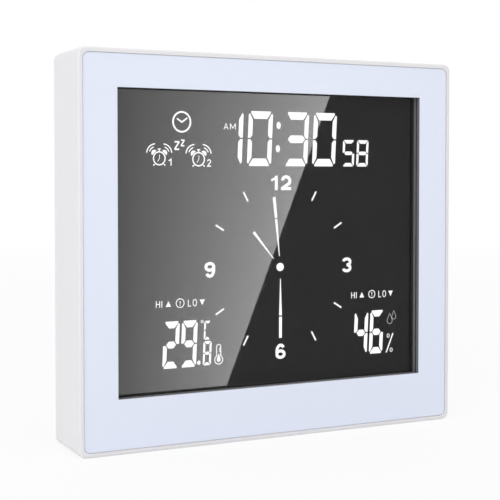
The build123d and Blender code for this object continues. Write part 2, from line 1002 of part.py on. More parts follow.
    # Keyholes: a screw head enters the round hole and its neck slides up the slot
    keyhole_rise = case_height / 2 - keyhole_drop
    keyhole_places = [(side * keyhole_spacing / 2, keyhole_rise) for side in (-1, 1)]
    disc(keyhole_radius, cover_inner, cover_face, keyhole_places, mode=Mode.SUBTRACT)
    for across, height in keyhole_places:
        slab(
            keyhole_slot_width,
            keyhole_slot_length,
            cover_inner,
            cover_face,
            across=across,
            rise=height + keyhole_slot_length / 2,
            mode=Mode.SUBTRACT,
        )
    disc(
        keyhole_slot_width / 2,
        cover_inner,
        cover_face,
        [(across, height + keyhole_slot_length) for across, height in keyhole_places],
        mode=Mode.SUBTRACT,
    )
    # Wells for the case screws
    disc(
        screw_well_radius,
        cover_face - screw_well_depth,
        cover_face,
        case_screw_places,
        mode=Mode.SUBTRACT,
    )
    disc(screw_hole_radius, cover_inner, cover_face, case_screw_places, mode=Mode.SUBTRACT)
rear_cover.part.label = "rear_cover"
export_step(rear_cover.part, "parts/rear_cover.step")

with BuildPart() as case_screws:
    screw_set(
        case_screw_places,
        cover_face - screw_well_depth,
        False,
        head_radius,
        head_height,
        shank_radius,
        case_screw_length,
    )
case_screws.part.label = "case_screws"
export_step(case_screws.part, "parts/case_screws.step")

# Sounder: a brass plate with a ceramic disc, seated in its ring, and two thin leads to the board
with BuildPart() as buzzer_plate:
    disc(buzzer_radius, buzzer_seat - buzzer_thickness, buzzer_seat, [buzzer_place])
buzzer_plate.part.label = "buzzer_plate"
export_step(buzzer_plate.part, "parts/buzzer_plate.step")

with BuildPart() as buzzer_ceramic:
    ceramic_back = buzzer_seat - buzzer_thickness
    disc(
        buzzer_ceramic_radius,
        ceramic_back - buzzer_ceramic_thickness,
        ceramic_back,
        [buzzer_place],
    )
buzzer_ceramic.part.label = "buzzer_ceramic"
export_step(buzzer_ceramic.part, "parts/buzzer_ceramic.step")

ceramic_front = ceramic_back - buzzer_ceramic_thickness
board_top = board_rise + board_height / 2
with BuildPart() as buzzer_leads:
    for index in range(2):
        lead_x = buzzer_offset + index * buzzer_lead_pitch
        lead_end = min(buzzer_rise - buzzer_lead_fall, board_top - buzzer_lead_margin)
        wire(
            [
                spot(lead_x, ceramic_front, buzzer_rise),
                spot(lead_x, ceramic_front - buzzer_lead_reach, buzzer_rise),
                spot(lead_x, board_back + buzzer_lead_reach, lead_end),
                spot(lead_x, board_back, lead_end),
            ],
            buzzer_lead_radius,
            "buzzer lead",
        )
buzzer_leads.part.label = "buzzer_leads"
export_step(buzzer_leads.part, "parts/buzzer_leads.step")

# Sensor board on two pegs behind the vents, its chip facing them, and a flat cable to the main board
with BuildPart() as sensor_board:
    slab(
        sensor_board_width,
        sensor_board_height,
        sensor_seat - sensor_board_thickness,
        sensor_seat,
        across=sensor_offset,
        rise=sensor_rise,
    )
    disc(
        sensor_peg_radius + running_clearance,
        sensor_seat - sensor_board_thickness,
        sensor_seat,
        sensor_posts,
        mode=Mode.SUBTRACT,
    )
sensor_board.part.label = "sensor_board"
export_step(sensor_board.part, "parts/sensor_board.step")

with BuildPart() as sensor_chip:
    slab(
        sensor_chip_width,
        sensor_chip_width,
        sensor_seat,
        sensor_seat + sensor_chip_height,
        across=sensor_offset,
        rise=sensor_rise,
    )
sensor_chip.part.label = "sensor_chip"
export_step(sensor_chip.part, "parts/sensor_chip.step")

with BuildPart() as sensor_ribbon:
    slab(
        sensor_ribbon_width,
        ribbon_thickness,
        board_back,
        sensor_seat - sensor_board_thickness,
        across=sensor_offset,
        rise=sensor_rise - sensor_board_height / 2 + ribbon_thickness,
    )
sensor_ribbon.part.label = "sensor_ribbon"
export_step(sensor_ribbon.part, "parts/sensor_ribbon.step")

# Key board with its switches, screwed to the stands of the cover
with BuildPart() as key_board:
    slab(key_board_width, key_board_height, key_board_front, switch_front, rise=key_rise)
    disc(
        small_shank_radius + thread_clearance,
        key_board_front,
        switch_front,
        key_post_places,
        mode=Mode.SUBTRACT,
    )
key_board.part.label = "key_board"
export_step(key_board.part, "parts/key_board.step")

with BuildPart() as key_switches:
    for across, height in key_places:
        slab(switch_width, switch_width, switch_front, switch_back, across=across, rise=height)
    disc(
        stem_radius + running_clearance,
        switch_back - stem_in_switch - key_travel - moving_clearance,
        switch_back,
        key_places,
        mode=Mode.SUBTRACT,
    )
key_switches.part.label = "key_switches"
export_step(key_switches.part, "parts/key_switches.step")

with BuildPart() as key_board_screws:
    screw_set(
        key_post_places,
        key_board_front,
        True,
        small_head_radius,
        small_head_height,
        small_shank_radius,
        key_screw_length,
    )
key_board_screws.part.label = "key_board_screws"
export_step(key_board_screws.part, "parts/key_board_screws.step")

# Keys: a cap with a flange that keeps it in, and a post on the stem of its switch
for name, (across, width) in keys.items():
    with BuildPart() as key_cap:
        pill(width, key_height, flange_back, key_face, across=across, rise=key_rise)
        fillet(key_cap.faces().sort_by(Axis.Y)[-1].edges(), key_edge_radius)
        pill(
            width + 2 * flange_lip,
            key_height + 2 * flange_lip,
            flange_front,
            flange_back,
            across=across,
            rise=key_rise,
        )
        disc(key_post_radius, key_post_end, flange_front, [(across, key_rise)])
        if name in ("up", "down"):
            slab(
                mark_length,
                mark_width,
                key_face - mark_height,
                key_face,
                across=across,
                rise=key_rise,
                mode=Mode.SUBTRACT,
            )
        if name == "up":
            slab(
                mark_width,
                mark_length,
                key_face - mark_height,
                key_face,
                across=across,
                rise=key_rise,
                mode=Mode.SUBTRACT,
            )
    key_cap.part.label = f"{name}_key"
    export_step(key_cap.part, f"parts/{name}_key.step")

    with BuildPart() as key_stem:
        disc(stem_radius, switch_back - stem_in_switch, key_post_end, [(across, key_rise)])
    key_stem.part.label = f"{name}_stem"
    export_step(key_stem.part, f"parts/{name}_stem.step")

# Flat cable from the lower edge of the key board down to the back of the main board
with BuildPart() as key_ribbon:
    ribbon_top = key_rise - key_board_height / 2
    ribbon_near = board_back + ribbon_thickness / 2
    ribbon_far = key_board_front + ribbon_thickness / 2
    with BuildSketch(side_plane(key_ribbon_offset, 0, 0)) as ribbon_section:
        with BuildLine():
            FilletPolyline(
                (ribbon_far, ribbon_top),
                (ribbon_far, ribbon_top - key_ribbon_end),
                (ribbon_near, board_top + key_ribbon_end),
                (ribbon_near, board_top - key_ribbon_end),
                radius=key_ribbon_bend,
            )
        trace(line_width=ribbon_thickness)
    extrude(amount=key_ribbon_width / 2, both=True)
key_ribbon.part.label = "key_ribbon"
export_step(key_ribbon.part, "parts/key_ribbon.step")

# Kickstand: a flat leg on a barrel, with a shallow panel and grip ribs on its outer face
with BuildPart() as kickstand:
    with BuildSketch(face_plane(stand_inner, 0, stand_middle)) as leg_outline:
        Rectangle(stand_width, stand_length)
        fillet(leg_outline.vertices().group_by(Axis.Y)[0], stand_corner_radius)
    extrude(amount=-stand_thickness)
    with BuildSketch(side_plane(0, stand_inner, stand_hinge_rise)):
        Circle(stand_thickness)
    extrude(amount=stand_width / 2, both=True)
    panel_length = stand_length - stand_thickness - 2 * stand_panel_margin
    slab(
        stand_width - 2 * stand_panel_margin,
        panel_length,
        cover_face - stand_panel_depth,
        cover_face,
        rise=stand_tip + stand_panel_margin + panel_length / 2,
        radius=stand_corner_radius - stand_panel_margin / 2,
        mode=Mode.SUBTRACT,
    )
    for row in range(stand_grip_count):
        pill(
            stand_grip_width,
            stand_grip_height,
            cover_face - stand_panel_depth,
            cover_face,
            rise=stand_tip + stand_grip_rise + row * stand_grip_pitch,
        )
    with BuildSketch(side_plane(0, stand_inner, stand_hinge_rise)):
        Circle(stand_pin_radius + running_clearance)
    extrude(amount=stand_width / 2 + overrun, both=True, mode=Mode.SUBTRACT)
kickstand.part.label = "kickstand"
export_step(kickstand.part, "parts/kickstand.step")

with BuildPart() as kickstand_pin:
    with BuildSketch(side_plane(0, stand_inner, stand_hinge_rise)):
        Circle(stand_pin_radius)
    extrude(amount=stand_recess_width / 2 + stand_pin_reach - running_clearance, both=True)
kickstand_pin.part.label = "kickstand_pin"
export_step(kickstand_pin.part, "parts/kickstand_pin.step")

# Battery door: a flat lid that turns on two lugs at its upper edge
with BuildPart() as battery_door:
    slab(
        door_width,
        door_height,
        door_inner,
        cover_face,
        across=bay_offset,
        rise=bay_rise,
        radius=door_corner_radius,
    )
    for across in lug_places:
        slab(
            lug_width,
            lug_rise + overrun,
            door_inner,
            lug_depth + lug_radius,
            across=across,
            rise=lug_height - (lug_rise + overrun) / 2,
        )
        with BuildSketch(side_plane(across, lug_depth, lug_height)):
            Circle(lug_radius)
        extrude(amount=lug_width / 2, both=True)
        with BuildSketch(side_plane(across, lug_depth, lug_height)):
            Circle(lug_pin_radius)
        extrude(amount=lug_width / 2 + lug_pin_length, both=True)
    for row in range(door_grip_count):
        pill(
            door_grip_width,
            door_grip_height,
            cover_face - mark_height,
            cover_face,
            across=bay_offset,
            rise=bay_rise - door_height / 2 + door_grip_rise + row * door_grip_pitch,
            mode=Mode.SUBTRACT,
        )
battery_door.part.label = "battery_door"
export_step(battery_door.part, "parts/battery_door.step")

# Cells: two side by side, one of them turned end for end
with BuildPart() as batteries:
    for index, across in enumerate(cell_places):
        end = 1 if index % 2 == 0 else -1
        positive_end = bay_end[end] - end * (contact_thickness + cell_clearance)
        body_end = positive_end - end * cell_nub_height
        with BuildSketch(
            Plane(origin=spot(across, cell_depth, body_end), z_dir=(0, 0, -end))
        ) as cell_section:
            Circle(cell_radius)
        extrude(cell_section.sketch, amount=cell_length - cell_nub_height)
    fillet(batteries.edges().filter_by(GeomType.CIRCLE), cell_edge_radius)
    for index, across in enumerate(cell_places):
        end = 1 if index % 2 == 0 else -1
        body_end = bay_end[end] - end * (contact_thickness + cell_clearance + cell_nub_height)
        with BuildSketch(
            Plane(origin=spot(across, cell_depth, body_end), z_dir=(0, 0, end))
        ) as nub_section:
            Circle(cell_nub_radius)
        extrude(nub_section.sketch, amount=cell_nub_height)
batteries.part.label = "batteries"
export_step(batteries.part, "parts/batteries.step")


def contact_base(first, last, end):
    """Flat strip against an end wall of the bay, from one cell to another."""
    wall = bay_end[end]
    width = last - first + contact_width
    slab(
        width,
        contact_thickness,
        cell_depth - contact_height / 2,
        cell_depth + contact_height / 2,
        across=(first + last) / 2,
        rise=wall - end * contact_thickness / 2,
    )


def leaf_spring(across, end):
    """Bent tongue on the strip, which presses on the flat end of a cell."""
    half = contact_height / 2
    middle = contact_thickness / 2
    with BuildSketch(side_plane(across, cell_depth, bay_end[end], -end)) as tongue:
        with BuildLine() as bend:
            FilletPolyline(
                (0, middle),
                (half - middle, middle),
                (0, spring_reach - middle),
                (-half / 2, spring_reach - middle - spring_tip_fall),
                radius=spring_bend_radius,
            )
        trace(bend.line, line_width=contact_thickness)
    extrude(tongue.sketch, amount=spring_width / 2, both=True)


def solder_tail(across, end):
    """Tab through the end wall, for the lead."""
    inner = bay_end[end] - end * contact_thickness
    outer = bay_end[end] + end * (bay_wall + tail_length)
    slab(
        tail_width,
        abs(outer - inner),
        tail_depth - contact_thickness / 2,
        tail_depth + contact_thickness / 2,
        across=across,
        rise=(inner + outer) / 2,
    )


# Contacts: a strip at the lower end joins the two cells, and a tab at the upper end serves each lead
with BuildPart() as bridge_contact:
    contact_base(cell_places[0], cell_places[1], -1)
    leaf_spring(cell_places[0], -1)
bridge_contact.part.label = "bridge_contact"
export_step(bridge_contact.part, "parts/bridge_contact.step")

with BuildPart() as positive_contact:
    contact_base(cell_places[0], cell_places[0], 1)
    solder_tail(cell_places[0], 1)
positive_contact.part.label = "positive_contact"
export_step(positive_contact.part, "parts/positive_contact.step")

with BuildPart() as negative_contact:
    contact_base(cell_places[1], cell_places[1], 1)
    leaf_spring(cell_places[1], 1)
    solder_tail(cell_places[1], 1)
negative_contact.part.label = "negative_contact"
export_step(negative_contact.part, "parts/negative_contact.step")

# Leads: up from the tabs, across in front of the cover and down into the socket
socket_middle = board_back + socket_depth / 2
tail_tip = bay_end[1] + bay_wall + tail_length
for label, across, order in (("red_lead", cell_places[0], 0), ("black_lead", cell_places[1], 1)):
    lead_top = tail_tip + (1 + order) * lead_rise
    lead_x = socket_offset - (order - 1 / 2) * lead_pitch
    with BuildPart() as lead:
        wire(
            [
                spot(across, tail_depth, tail_tip),
                spot(across, tail_depth, lead_top),
                spot(lead_x, socket_middle, lead_top),
                spot(lead_x, socket_middle, socket_rise + socket_height / 2),
            ],
            lead_radius,
            label,
        )
    lead.part.label = label
    export_step(lead.part, f"parts/{label}.step")
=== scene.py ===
from math import cos, pi, radians, sin, tan

import bmesh
import bpy
from mathutils import Matrix, Vector


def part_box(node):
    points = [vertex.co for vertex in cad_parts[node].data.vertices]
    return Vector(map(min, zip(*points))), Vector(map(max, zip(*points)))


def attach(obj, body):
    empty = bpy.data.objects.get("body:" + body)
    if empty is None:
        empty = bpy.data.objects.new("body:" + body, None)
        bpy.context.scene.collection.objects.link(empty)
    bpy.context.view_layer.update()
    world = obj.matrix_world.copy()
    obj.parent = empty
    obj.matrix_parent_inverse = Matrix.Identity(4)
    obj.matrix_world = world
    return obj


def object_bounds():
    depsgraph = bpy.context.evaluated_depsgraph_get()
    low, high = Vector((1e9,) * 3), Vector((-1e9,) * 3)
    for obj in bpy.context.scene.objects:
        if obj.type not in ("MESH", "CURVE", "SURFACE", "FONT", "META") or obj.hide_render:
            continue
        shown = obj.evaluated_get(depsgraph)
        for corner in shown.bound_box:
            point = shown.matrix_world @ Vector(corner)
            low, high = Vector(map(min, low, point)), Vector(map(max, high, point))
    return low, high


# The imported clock, in metres. It faces -Y and stands on the floor at z = 0.
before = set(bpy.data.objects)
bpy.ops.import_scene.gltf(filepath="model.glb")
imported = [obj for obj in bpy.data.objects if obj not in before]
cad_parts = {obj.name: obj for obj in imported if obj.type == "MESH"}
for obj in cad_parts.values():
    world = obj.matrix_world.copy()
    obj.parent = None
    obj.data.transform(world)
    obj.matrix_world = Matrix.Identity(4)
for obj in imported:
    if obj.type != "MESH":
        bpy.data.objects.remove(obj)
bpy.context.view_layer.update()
scene = bpy.context.scene
mm = 0.001
case_low, case_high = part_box("front_case")
case_middle = (case_low.z + case_high.z) / 2

# Camera. It stands to the left of the clock, a little above its middle, and looks down by about
# 2 degrees. Its lens is shifted, so that upright edges stay almost upright, as in the photograph.
camera_spot = Vector((-0.2237, -0.4417, 0.1085))
camera_back = Vector((-0.443, -0.896, 0.0315))
camera_lens = 83.86
camera_shift = -0.0737

camera_data = bpy.data.cameras.new("studio_camera")
camera_data.lens = camera_lens
camera_data.shift_y = camera_shift
camera_data.clip_start = 0.01
camera = bpy.data.objects.new("studio_camera", camera_data)
camera.location = camera_spot
camera.rotation_euler = (-camera_back).to_track_quat("-Z", "Y").to_euler()
scene.collection.objects.link(camera)
scene.camera = camera


# Front case. A tub moulded in white ABS with a satin face, plain side walls and rounded edges.
# The mould leaves a very fine even grain, and thick places cool with faint clouds in the gloss.
class Shade:
    """One output of a material's nodes. Arithmetic on it adds Math nodes to the same material."""

    def __init__(self, tree, output=None):
        self.tree = tree
        self.output = output

    def node(self, kind, settings=None, sockets=None, output=0):
        """Adds a node: its settings first, then the values or the links of its sockets."""
        made = self.tree.nodes.new(kind)
        for name, value in (settings or {}).items():
            setattr(made, name, value)
        for name, value in (sockets or {}).items():
            if isinstance(value, Shade):
                self.tree.links.new(value.output, made.inputs[name])
            else:
                made.inputs[name].default_value = value
        return Shade(self.tree, made.outputs[output] if made.outputs else None)

    def math(self, operation, first, second):
        return self.node("ShaderNodeMath", {"operation": operation}, {0: first, 1: second})

    def __add__(self, other):
        return self.math("ADD", self, other)

    def __sub__(self, other):
        return self.math("SUBTRACT", self, other)

    def __rsub__(self, other):
        return self.math("SUBTRACT", other, self)

    def __mul__(self, other):
        return self.math("MULTIPLY", self, other)

    def __gt__(self, other):
        return self.math("GREATER_THAN", self, other)

    def __lt__(self, other):
        return self.math("LESS_THAN", self, other)

    __radd__ = __add__
    __rmul__ = __mul__

    def between(self, low, high):
        """Goes from 0 to 1 as this goes from low to high."""
        return self.node("ShaderNodeMapRange", None, {"Value": self, 1: low, 2: high})

    def tint(self, first, second):
        """First colour where this is 0 and second colour where it is 1."""
        return self.node("ShaderNodeMix", {"data_type": "RGBA"}, {0: self, 6: first, 7: second}, 2)


def start_finish(name):
    """New material, the handle that adds nodes to it, and the place on the piece in metres."""
    material = bpy.data.materials.new(name)
    material.use_nodes = True
    material.node_tree.nodes.clear()
    shade = Shade(material.node_tree)
    return material, shade, shade.node("ShaderNodeTexCoord", output=3)


def end_finish(shade, sockets):
    """Closes a material with a Principled surface that has these sockets."""
    surface = shade.node("ShaderNodeBsdfPrincipled", None, sockets)
    shade.node("ShaderNodeOutputMaterial", None, {"Surface": surface})


def noise(place, size, detail=2):
    """Noise whose lumps are about that size in metres, from 0 to 1."""
    return place.node(
        "ShaderNodeTexNoise", None, {"Vector": place, "Scale": 1 / size, "Detail": detail}
    )


def bumped(height, depth):
    """Surface normal of a relief of that depth in metres."""
    return height.node(
        "ShaderNodeBump", None, {"Height": height, "Distance": depth, "Strength": 1.0}
    )


def scaled(colour, factor):
    return (*[value * factor for value in colour], 1)


cloud_size = 0.03
cloud_gloss = 0.08
grain_gloss = 0.06


def moulded(name, colour, roughness, grain=0.0003, relief=0.000004, cloud=0.02):
    """Moulded plastic: one colour with faint clouds, uneven gloss and the grain of the mould."""
    material, shade, place = start_finish(name)
    clouds = noise(place, cloud_size)
    texture = noise(place, grain)
    end_finish(
        shade,
        {
            "Base Color": clouds.tint(scaled(colour, 1 - cloud), scaled(colour, 1 + cloud / 2)),
            "Roughness": clouds * cloud_gloss
            + (texture * grain_gloss + (roughness - (cloud_gloss + grain_gloss) / 2)),
            "Normal": bumped(texture, relief),
        },
    )
    return material


def dress(material, *nodes):
    """Gives the material to every slot of these CAD nodes."""
    for node in nodes:
        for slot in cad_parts[node].material_slots:
            slot.material = material


case_colour = (0.785, 0.775, 0.795)
dress(moulded("case_satin", case_colour, 0.42), "front_case")

# Bezel panel. A flat sheet of pale blue plastic with a satin face, cut with a sharp-cornered
# window and bonded into the recess of the case. Its cut edge shows inside the window, and its
# dark grey there is painted shade that stands in for the shade of the window recess.
panel_colour = (0.765, 0.81, 0.93)
# Painted shade: the cut edges inside the window get this dark grey in place of the shade of the
# recess.
panel_edge_painted_shade = (0.22, 0.22, 0.24)
panel_grain = 0.0002
panel_relief = 0.000003
panel_gloss = 0.35
face_limit = -0.3


def value_along(vector, axis):
    """One of the three values of a place or a direction."""
    return vector.node("ShaderNodeSeparateXYZ", None, {"Vector": vector}, axis)


def panel_satin():
    """Satin face in the panel's own blue, and dark grey painted shade where it turns backwards."""
    material, shade, place = start_finish("panel_satin")
    facing = shade.node("ShaderNodeTexCoord", output=1)
    # Faces that turn backwards, the cut edges of the window, take the painted shade.
    shaded_edge = value_along(facing, 1) > face_limit
    clouds = noise(place, cloud_size)
    texture = noise(place, panel_grain)
    face = clouds.tint(scaled(panel_colour, 0.994), scaled(panel_colour, 1.004))
    end_finish(
        shade,
        {
            "Base Color": shaded_edge.tint(face, scaled(panel_edge_painted_shade, 1)),
            "Roughness": texture * grain_gloss + (clouds * 0.05 + panel_gloss),
            "Normal": bumped(texture, panel_relief),
        },
    )
    return material


dress(panel_satin(), "bezel_panel")

# Glue bead. A thin bead of white silicone closes the gap around the panel, which is glued into
# the front of the case.
bead_depth = 0.62 * mm
bead_thickness = 0.5 * mm
bead_radius = 2.72 * mm
bead_half_width = 0.05 * mm
bead_middle = 0.075 * mm
corner_steps = 8
bead_colour = (0.86, 0.86, 0.87)


def rounded_loop(low, high, radius):
    """Points around an upright rounded rectangle, from its lowest and highest corners."""
    loop = []
    corners = ((high.x, high.z, 0), (low.x, high.z, 1), (low.x, low.z, 2), (high.x, low.z, 3))
    for x, z, quarter in corners:
        centre_x = x - radius if quarter in (0, 3) else x + radius
        centre_z = z - radius if quarter in (0, 1) else z + radius
        for step in range(corner_steps + 1):
            angle = (quarter + step / corner_steps) * pi / 2
            loop.append((centre_x + radius * cos(angle), centre_z + radius * sin(angle)))
    return loop


panel_low, panel_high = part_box("bezel_panel")
bead_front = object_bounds()[0].y + bead_depth
rows = []
bead = bmesh.new()
for reach, depth in (
    (bead_middle + bead_half_width, bead_front),
    (bead_middle + bead_half_width, bead_front + bead_thickness),
    (bead_middle - bead_half_width, bead_front + bead_thickness),
    (bead_middle - bead_half_width, bead_front),
):
    spread = Vector((reach, 0, reach))
    loop = rounded_loop(panel_low - spread, panel_high + spread, bead_radius)
    rows.append([bead.verts.new((x, depth, z)) for x, z in loop])
for row, beside in zip(rows, rows[1:] + rows[:1]):
    for index in range(len(row)):
        bead.faces.new((row[index - 1], row[index], beside[index], beside[index - 1]))
bmesh.ops.recalc_face_normals(bead, faces=bead.faces[:])
bead_mesh = bpy.data.meshes.new("panel_bead")
bead.to_mesh(bead_mesh)
bead.free()
bead_mesh.materials.append(moulded("bead_silicone", bead_colour, 0.6, grain=0.0004))
panel_bead = bpy.data.objects.new("panel_bead", bead_mesh)
scene.collection.objects.link(panel_bead)
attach(panel_bead, "case")


# Window lens. A clear acrylic sheet with an anti-glare coating behind the panel, and a thick ring
# of dark grey foam behind its edge, which keeps dust out of the display.
acrylic_index = 1.49
lens_veil = 0.03
veil_colour = (0.02, 0.02, 0.02)
haze_size = 0.02
haze_depth = 0.01
gasket_colour = (0.22, 0.22, 0.225)


def coated_sheet(name, veil):
    """Thin clear sheet whose coating takes its mirroring away. veil is the share of the light that
    it keeps back, with a faint haze in places."""
    material, shade, place = start_finish(name)
    haze = noise(place, haze_size)
    end_finish(
        shade,
        {
            "Base Color": scaled(veil_colour, 1),
            "Roughness": haze * 0.02 + 0.03,
            "IOR": acrylic_index,
            "Alpha": haze * haze_depth + (veil - haze_depth / 2),
        },
    )
    return material


dress(coated_sheet("lens_coated", lens_veil), "window_lens")
dress(moulded("gasket_foam", gasket_colour, 0.9, grain=0.0008, relief=0.00005), "dust_gasket")

# Display. The black film is its visible face. Behind it lie the two glasses, the rear film, the
# white diffuser, the clear light guide and the white reflector.
display_black = (0.021, 0.0195, 0.020)
film_cloud = 0.015
film_gloss = 0.004
glass_index = 1.52


def clear_sheet(name, colour, index):
    """Polished clear glass or plastic with a faint cloud in places."""
    material, shade, place = start_finish(name)
    haze = noise(place, haze_size)
    end_finish(
        shade,
        {
            "Base Color": haze.tint(scaled(colour, 0.99), scaled(colour, 1.0)),
            "Roughness": 0.0,
            "Transmission Weight": 1.0,
            "IOR": index,
        },
    )
    return material


def polarizer(name, colour):
    """Black film whose polished face mirrors what stands in front of the clock."""
    material, shade, place = start_finish(name)
    clouds = noise(place, film_cloud)
    end_finish(
        shade,
        {
            "Base Color": clouds.tint(scaled(colour, 0.9), scaled(colour, 1.1)),
            "Roughness": clouds * film_gloss,
            "Specular IOR Level": 1.0,
        },
    )
    return material


dress(polarizer("display_film", display_black), "front_polarizer", "rear_polarizer")
dress(
    clear_sheet("display_glass", (0.93, 0.98, 0.95), glass_index),
    "lcd_front_glass",
    "lcd_rear_glass",
)
dress(
    moulded("diffuser_white", (0.86, 0.86, 0.86), 0.6, grain=0.0001),
    "backlight_diffuser",
    "reflector_sheet",
)
dress(clear_sheet("guide_clear", (0.97, 0.99, 1.0), acrylic_index), "light_guide")

# Lit segments. The film is clear where a segment is, and the white backlight shows through it.
# Each group of segments is a set of very thin plates on the face of the film.
segment_thickness = 0.00003
segment_glow = 1.02
glow_cloud = 0.006
sharpest_mitre = 0.6
display_shift = 0.2 * mm
film_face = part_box("front_polarizer")[0].y
arc_step = radians(9)


def lit(name, colour, strength):
    """Backlight seen through the film: even light with a faint unevenness."""
    material, shade, place = start_finish(name)
    uneven = noise(place, glow_cloud)
    end_finish(
        shade,
        {
            "Base Color": scaled(colour, 0.2),
            "Roughness": 0.4,
            "Specular IOR Level": 0.0,
            "Emission Color": uneven.tint(scaled(colour, 0.97), scaled(colour, 1.0)),
            "Emission Strength": strength,
        },
    )
    return material


lit_white = lit("segment_white", (1.0, 1.0, 1.0), segment_glow)
lit_grey = lit("segment_grey", (0.42, 0.42, 0.42), segment_glow)


def on_face(x, z, raised=0.0):
    """Point of a thin print, from millimetres right of and above the middle of the case."""
    return Vector((x * mm, -raised, case_middle + z * mm))


def add_plate(art, outline):
    """Adds a thin plate with that outline to a mesh."""
    back = [art.verts.new(on_face(x, z)) for x, z in outline]
    front = [art.verts.new(on_face(x, z, segment_thickness)) for x, z in outline]
    art.faces.new(front)
    art.faces.new(reversed(back))
    for index in range(len(outline)):
        last = index - 1
        art.faces.new((back[last], back[index], front[index], front[last]))


def add_ring(art, outer, inner):
    """Adds a thin plate between two closed outlines with as many points."""
    rows = [
        [art.verts.new(on_face(*point, raised)) for point in outline]
        for outline, raised in (
            (outer, 0.0),
            (outer, segment_thickness),
            (inner, segment_thickness),
            (inner, 0.0),
        )
    ]
    for index in range(len(outer)):
        for row, beside in zip(rows, rows[1:] + rows[:1]):
            art.faces.new((row[index - 1], row[index], beside[index], beside[index - 1]))


def add_band(art, path, width, closed=False):
    """Adds a thin plate that follows a path with an even width."""
    points = [Vector(point) for point in path]
    left = []
    right = []
    for index, point in enumerate(points):
        before = points[index - 1] if index or closed else None
        after = points[(index + 1) % len(points)] if index + 1 < len(points) or closed else None
        ways = [
            (end - start).normalized()
            for start, end in ((before, point), (point, after))
            if start is not None and end is not None
        ]
        along = sum(ways, Vector((0, 0))).normalized()
        reach = width / 2 / max(along.dot(ways[0]), sharpest_mitre)
        side = Vector((-along.y, along.x)) * reach
        left.append(point + side)
        right.append(point - side)
    if closed:
        add_ring(art, left, right)
    else:
        add_plate(art, [*left, *reversed(right)])


def arc(centre, radius, start, end, rise=1.0):
    """Points along an arc. Angles are in degrees from the right, turning upwards, and rise makes it
    higher than it is wide."""
    steps = max(2, round(abs(radians(end - start)) / arc_step))
    angles = [radians(start + (end - start) * step / steps) for step in range(steps + 1)]
    return [
        (centre[0] + radius * cos(angle), centre[1] + radius * rise * sin(angle))
        for angle in angles
    ]


def circle(centre, radius, rise=1.0):
    return arc(centre, radius, 0, 360, rise)[:-1]


def place_art(art, name, material, depth, turn=0, across=0.0):
    """Turns the collected plates into a piece at that depth and that far to the right. A turn of
    half a circle makes it face the rear."""
    bmesh.ops.recalc_face_normals(art, faces=art.faces[:])
    mesh = bpy.data.meshes.new(name)
    art.to_mesh(mesh)
    art.free()
    mesh.transform(Matrix.Translation((across, depth, 0)) @ Matrix.Rotation(turn, 4, "Z"))
    mesh.materials.append(material)
    piece = bpy.data.objects.new(name, mesh)
    scene.collection.objects.link(piece)
    return piece


def place_lit(art, name, material):
    """Turns the collected plates into a piece on the film, a little further right than drawn."""
    piece = place_art(art, name, material, film_face, across=display_shift)
    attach(piece, "case")


# Time and seconds. Seven-segment digits that lean a little to the right. The bars are mitred at
# the corners, and the middle bar is pointed at both ends.
digit_lean = tan(radians(2.6))
segments_of = {
    "0": "abcdef",
    "1": "bc",
    "2": "abged",
    "3": "abgcd",
    "4": "fgbc",
    "5": "afgcd",
    "6": "afgecd",
    "8": "abcdefg",
    "9": "abcdfg",
    "C": "afed",
}


def add_digit(art, sign, left, bottom, width, height, upright, level, gap, inset):
    """Adds a digit. upright and level are the thicknesses of its upright and its level bars, and
    inset is how far the level bars stay from its sides."""
    half = height / 2
    throat = upright + gap * 1.1
    bars = {
        "a": [
            (inset, height),
            (width - inset, height),
            (width - inset, height - level * 0.25),
            (width - throat, height - level),
            (throat, height - level),
            (inset, height - level * 0.25),
        ],
        "f": [
            (0, half + gap / 2),
            (0, height - level * 0.47),
            (upright * 0.2, height - level * 0.32),
            (upright * 0.32, height - level * 0.32),
            (upright, height - level - gap * 0.8),
            (upright, half + level * 0.45),
            (upright * 0.57, half + gap / 2),
        ],
        "g": [
            (upright * 0.78, half),
            (upright * 1.42, half + level / 2),
            (width - upright * 1.42, half + level / 2),
            (width - upright * 0.78, half),
            (width - upright * 1.42, half - level / 2),
            (upright * 1.42, half - level / 2),
        ],
    }
    bars["b"] = [(width - x, y) for x, y in bars["f"]]
    bars["c"] = [(width - x, height - y) for x, y in bars["f"]]
    bars["e"] = [(x, height - y) for x, y in bars["f"]]
    bars["d"] = [(x, height - y) for x, y in bars["a"]]
    for bar in segments_of[sign]:
        outline = [(left + x + (y - half) * digit_lean, bottom + y) for x, y in bars[bar]]
        add_plate(art, outline)


def add_number(art, signs, left, bottom, pitch, **sizes):
    for index, sign in enumerate(signs):
        add_digit(art, sign, left + index * pitch, bottom, **sizes)


time_sizes = {
    "width": 11.2,
    "height": 22.65,
    "upright": 1.95,
    "level": 3.15,
    "gap": 0.6,
    "inset": 1.1,
}
time_bottom = 33.8
time_pitch = 13.6
hour_left = -25.45
minute_left = 5.3
colon_spots = [(2.43, 50.75), (2.07, 41.05)]
colon_radius = 0.98
seconds_sizes = {
    "width": 5.8,
    "height": 11.35,
    "upright": 1.05,
    "level": 1.5,
    "gap": 0.46,
    "inset": 0.55,
}
seconds_left = 33.46
seconds_pitch = 7.0

time_art = bmesh.new()
add_number(time_art, "10", hour_left, time_bottom, time_pitch, **time_sizes)
add_number(time_art, "30", minute_left, time_bottom, time_pitch, **time_sizes)
add_number(time_art, "58", seconds_left, time_bottom, seconds_pitch, **seconds_sizes)
for spot in colon_spots:
    add_plate(time_art, circle(spot, colon_radius, rise=1.5))
place_lit(time_art, "time_segments", lit_white)

